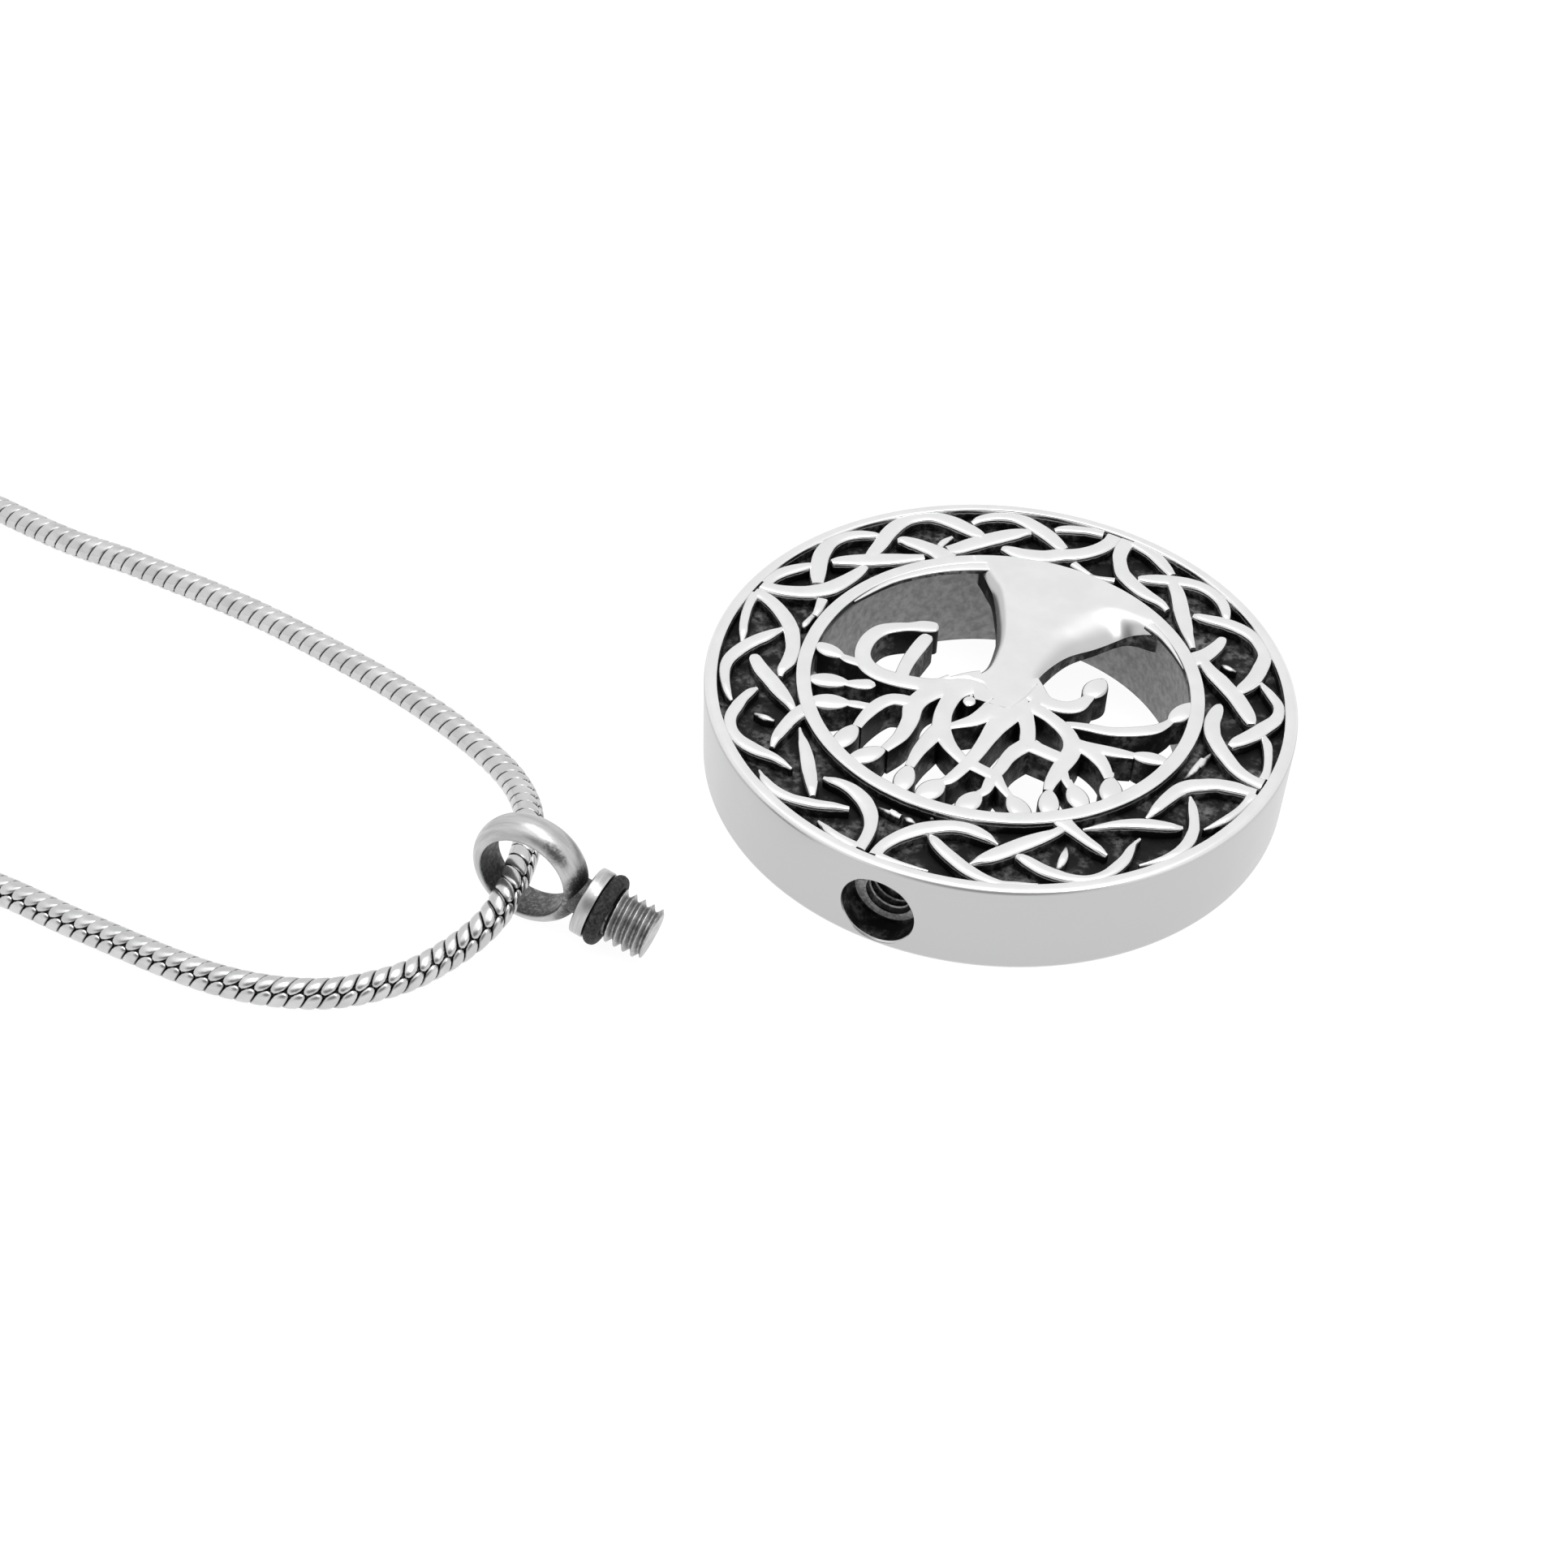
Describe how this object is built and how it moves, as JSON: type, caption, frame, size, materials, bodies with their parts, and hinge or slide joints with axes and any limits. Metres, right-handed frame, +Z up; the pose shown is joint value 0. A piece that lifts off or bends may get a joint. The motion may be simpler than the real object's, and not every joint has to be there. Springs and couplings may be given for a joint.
{
  "type": "keepsake urn pendant necklace",
  "caption": "Round tree of life urn pendant with a knotwork border, its threaded ash chamber open beside the bail screw on a snake chain.",
  "frame": {"origin": "centre of the locket's flat back, on the surface it lies on", "axes": "+Z up through the locket's face, +Y out of the threaded hole, +X away along the chain"},
  "size_m": [0.2584, 0.0769, 0.0055],
  "materials": {
    "polished_steel": "polished, blackened in the recesses",
    "satin_steel": "satin",
    "seal_rubber": "smooth",
    "chain_steel": "polished"
  },
  "bodies": {
    "root": {"locket": "polished_steel", "bail_screw": "satin_steel", "seal_ring": "seal_rubber", "chain": "chain_steel", "clasp": "chain_steel"}
  },
  "joints": []
}
